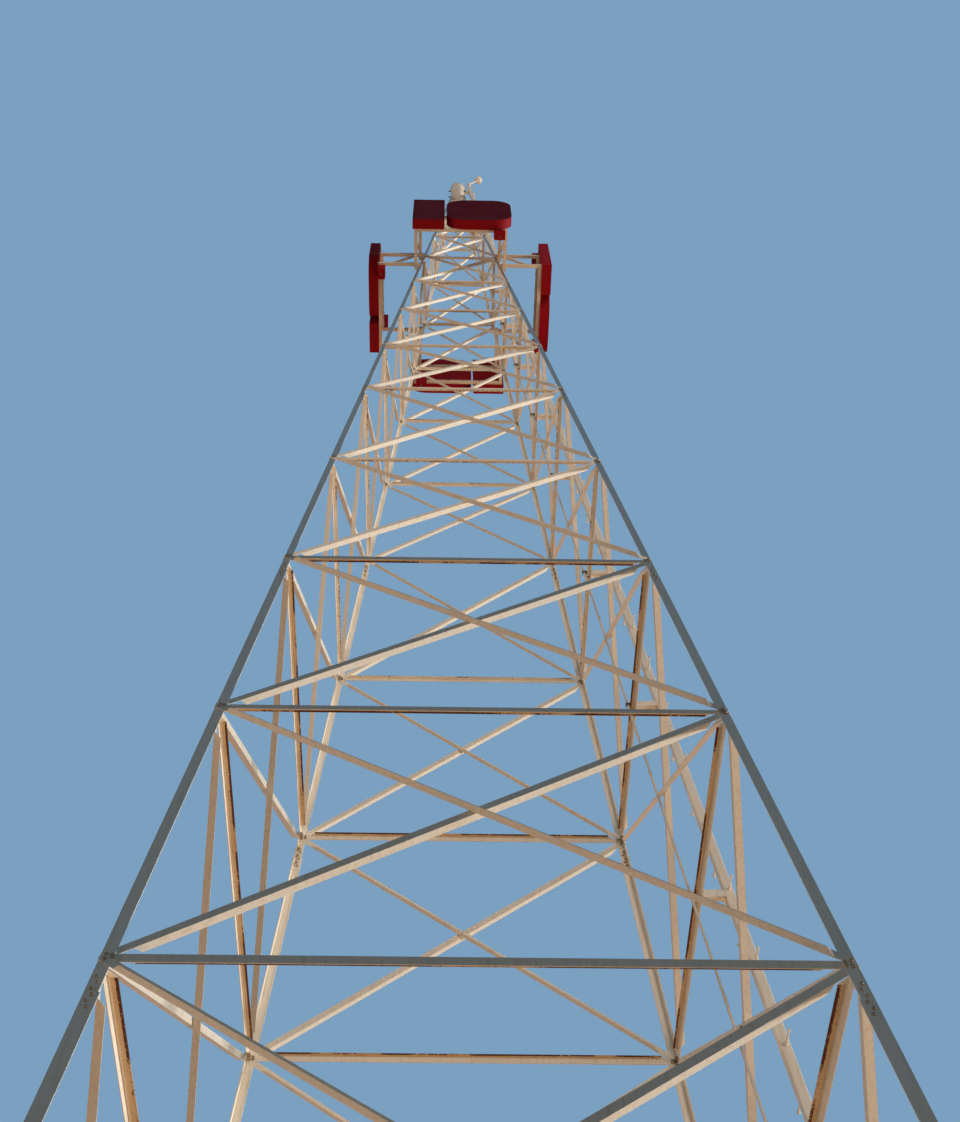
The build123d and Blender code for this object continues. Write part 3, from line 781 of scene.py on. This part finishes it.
# Sign frames
# Square tubes welded into a frame behind the boxes, with arms to the legs and knee braces under
# them. Dark bolts go through the clips at the legs and through the rails into the boxes.
frame_paint = weathered_paint("cream_alkyd_paint_on_sign_frames", "#EDE5D6", "#DFD0B6", "#A98C68", 0.12)
finish_nodes([f"{side_name}_sign_frame" for side_name in side_names], frame_paint)
tube_size = 0.060
lower_rail = 27.49
upper_rail = 28.30
clip_half = 0.020
clip_bolt = ((0, 0.009), (0.008, 0.009))
clip_bolts_out = (0.012, 0.030)
box_bolts_across = (-0.80, -0.42, -0.12, 0.20, 0.52, 0.84)
box_bolt_washer = ((0, 0.013), (0.003, 0.013))
box_bolt_head = ((0.003, 0.0095), (0.011, 0.0095))


def frame_lift(turn):
    """The frames of the right and left sides lie on those of the front and back."""
    return tube_size if turn % 2 else 0.0


shape = bmesh.new()
for turn in range(4):
    inward = side_direction(turn, 0, -1)
    for height in (lower_rail + frame_lift(turn), upper_rail + frame_lift(turn)):
        for across in box_bolts_across:
            place = side_point(turn, across, height, sign_front - sign_depth - tube_size)
            turned(shape, place, inward, box_bolt_washer, 10)
            turned(shape, place, inward, box_bolt_head, 6, random.uniform(0, 1))
        for way in (-1, 1):
            leg_edge = face_point(turn + way, -way * (half(height) - clip_half), height * slope)
            side = face_direction(turn + way, way, 0, 0)
            for out in clip_bolts_out:
                place = leg_edge + face_direction(turn + way, 0, 0, 1) * out + side * clip_half
                turned(shape, place, side, clip_bolt, 6, random.uniform(0, 1))
piece("frame_bolts", shape, dark_iron)

# Power boxes
# Small sheet steel boxes behind the signs, with a lid held by four screws on the side that faces
# the mast, and a gland and a short pipe at the bottom where the supply goes in.
finish_nodes(("power_boxes",), sign_enamel)
box_wide = 0.210
box_deep = 0.130
box_high = 0.240
box_back = sign_front - sign_depth - box_deep
upper_box_across = -0.660
lower_box_across = 0.728
lid_margin = 0.007
lid_wall = 0.005
lid_size = (box_wide - 2 * lid_margin, lid_wall, box_high - 2 * lid_margin)
lid_rounding = 0.0015
screw_inset = 0.020
screw_head = ((0, 0.006), (0.002, 0.006), (0.0035, 0.003))
gland_and_pipe = ((0, 0.020), (0.012, 0.020), (0.012, 0.014), (0.045, 0.014))
shape = bmesh.new()
glands = bmesh.new()
for turn in range(4):
    spin = Matrix.Rotation(turn * math.pi / 2, 4, "Z")
    # One box stands on the upper rail and one hangs under the lower
    upper_box = upper_rail + frame_lift(turn) + tube_size / 2 + box_high / 2
    lower_box = lower_rail + frame_lift(turn) - tube_size / 2 - box_high / 2
    for across, height in ((upper_box_across, upper_box), (lower_box_across, lower_box)):
        lid = bmesh.ops.create_cube(shape, size=1.0)["verts"]
        bmesh.ops.scale(shape, vec=lid_size, verts=lid)
        edges = {edge for vertex in lid for edge in vertex.link_edges}
        rounded = bmesh.ops.bevel(shape, geom=list(edges), offset=lid_rounding, segments=2, affect="EDGES")
        lid = {vertex for vertex in lid if vertex.is_valid} | set(rounded["verts"])
        place = side_point(turn, across, height, box_back - lid_wall / 2)
        bmesh.ops.transform(shape, matrix=Matrix.Translation(place) @ spin, verts=list(lid))
        for way_x in (-1, 1):
            for way_y in (-1, 1):
                screw = side_point(turn, across + way_x * (box_wide / 2 - screw_inset),
                                   height + way_y * (box_high / 2 - screw_inset), box_back - lid_wall)
                turned(glands, screw, side_direction(turn, 0, -1), screw_head, 8)
        bottom = side_point(turn, across, height - box_high / 2, box_back + box_deep / 2)
        turned(glands, bottom, -plumb, gland_and_pipe, 12)
piece("power_box_lids", shape, sign_enamel)
piece("power_box_glands", glands, dark_iron, smooth=True)

# Top of the mast
# A steel cap plate bolted down on the four legs carries a drum of riveted sheet steel with a lip at
# each end. Its foot is riveted round, its seam is on the left, and rain has stained it brown.
top_paint = weathered_paint("stained_cream_paint_on_drum", "#E9E2D4", "#D9C9AD", "#A08461", 0.20)
finish_nodes(("cap_plate", "top_drum"), top_paint)
cap_wall = 0.012
cap_bolt_half = 0.130
cap_bolt = ((0, 0.010), (0.008, 0.010), (0.012, 0.006))
drum_foot = levels[-1] + cap_wall
lip_rivets = 12
lip_rivet_turn = 0.13
lip_rivet_radius = 0.176
lip_rivet_height = 0.022
lip_rivet = ((0, 0.008), (0.003, 0.008), (0.006, 0.004))
seam_rivets = 13
seam_angle = 2.6
seam_radius = 0.1675
seam_start = 0.090
seam_pitch = 0.082
seam_rivet = ((0, 0.006), (0.0015, 0.0055), (0.003, 0.003))
shape = bmesh.new()
for k in range(lip_rivets):
    angle = k * math.tau / lip_rivets + lip_rivet_turn
    way = Vector((math.cos(angle), math.sin(angle), 0))
    place = Vector((axis, axis, drum_foot + lip_rivet_height)) + way * lip_rivet_radius
    turned(shape, place, way, lip_rivet, 8)
for way_x in (-1, 1):
    for way_y in (-1, 1):
        place = Vector((axis + way_x * cap_bolt_half, axis + way_y * cap_bolt_half, levels[-1]))
        turned(shape, place, -plumb, cap_bolt, 8)
way = Vector((math.cos(seam_angle), math.sin(seam_angle), 0))
for step in range(seam_rivets):
    place = Vector((axis, axis, drum_foot + seam_start + step * seam_pitch)) + way * seam_radius
    turned(shape, place, way, seam_rivet, 8)
piece("drum_rivets", shape, top_paint, smooth=True)

# Lugs on the drum
# Three lifting lugs cut from 12 mm flat iron, left bare and gone dark, and welded upright to the
# drum's sides, two on the left and one on the right.
lug_half_wall = 0.006
lug_foot = 0.165
lug_outline = ((0, -0.05), (0.055, -0.02), (0.070, 0.0), (0.070, 0.025), (0.055, 0.04), (0, 0.05))
# The way that each lug points, and its height up the drum
lug_places = ((math.pi, 0.99), (math.pi * 1.02, 0.40), (-0.55, 0.62))
shape = bmesh.new()
for angle, height in lug_places:
    way = Vector((math.cos(angle), math.sin(angle), 0))
    side = Vector((-way.y, way.x, 0)) * lug_half_wall
    foot = Vector((axis, axis, drum_foot + height)) + way * lug_foot
    flat_piece(shape, [foot + way * out + plumb * up - side for out, up in lug_outline],
               [foot + way * out + plumb * up + side for out, up in lug_outline])
piece("drum_lugs", shape, dark_iron)

# Lamp
# A steel pipe with a round hoop, a cast collar and a leaning stem, painted cream, and a globe of
# opal glass that screws into the neck at the end of the stem.
finish_nodes(("lamp_arm",), rail_paint)
opal, tree = new_material("opal_glass")
place = add_node(tree, "ShaderNodeTexCoord").outputs["Object"]
# Milky clouding about 70 mm across
haze = add_node(tree, "ShaderNodeTexNoise", {}, {"Scale": 14, "Detail": 3}, {"Vector": place})
tone = add_node(tree, "ShaderNodeMix", {"data_type": "RGBA"}, {6: linear("#F4F0E6"), 7: linear("#E4DCCB")},
                {0: haze.outputs["Fac"]})
surface = add_node(tree, "ShaderNodeBsdfPrincipled", {}, {"Roughness": 0.12, "IOR": 1.5},
                   {"Base Color": tone.outputs[2]})
add_node(tree, "ShaderNodeOutputMaterial", links={"Surface": surface.outputs[0]})
finish_nodes(("lamp_globe",), opal)

# Shade on the near face
# In the photograph the near legs, the front and left signs and the lowest bars beside them stand in
# shade against the bright inner sides of the rest. So the lamp for the light thrown back onto those
# inner sides leaves them out.
shaded_names = ["front_left_leg", "front_right_leg", "front_splice_bolts", "front_bracing_bolts",
                "front_bolt_rust"]
shaded_names += bracing_of(("front", "left"), (1, 2)) + signs_of(("front", "left"))
shade = bpy.data.collections.new("shade_on_the_near_face")
for name in shaded_names:
    shade.objects.link(cad[name] if name in cad else bpy.data.objects[name])
for member in shade.collection_objects:
    member.light_linking.link_state = "EXCLUDE"
bpy.data.objects["inner_bounce"].light_linking.receiver_collection = shade
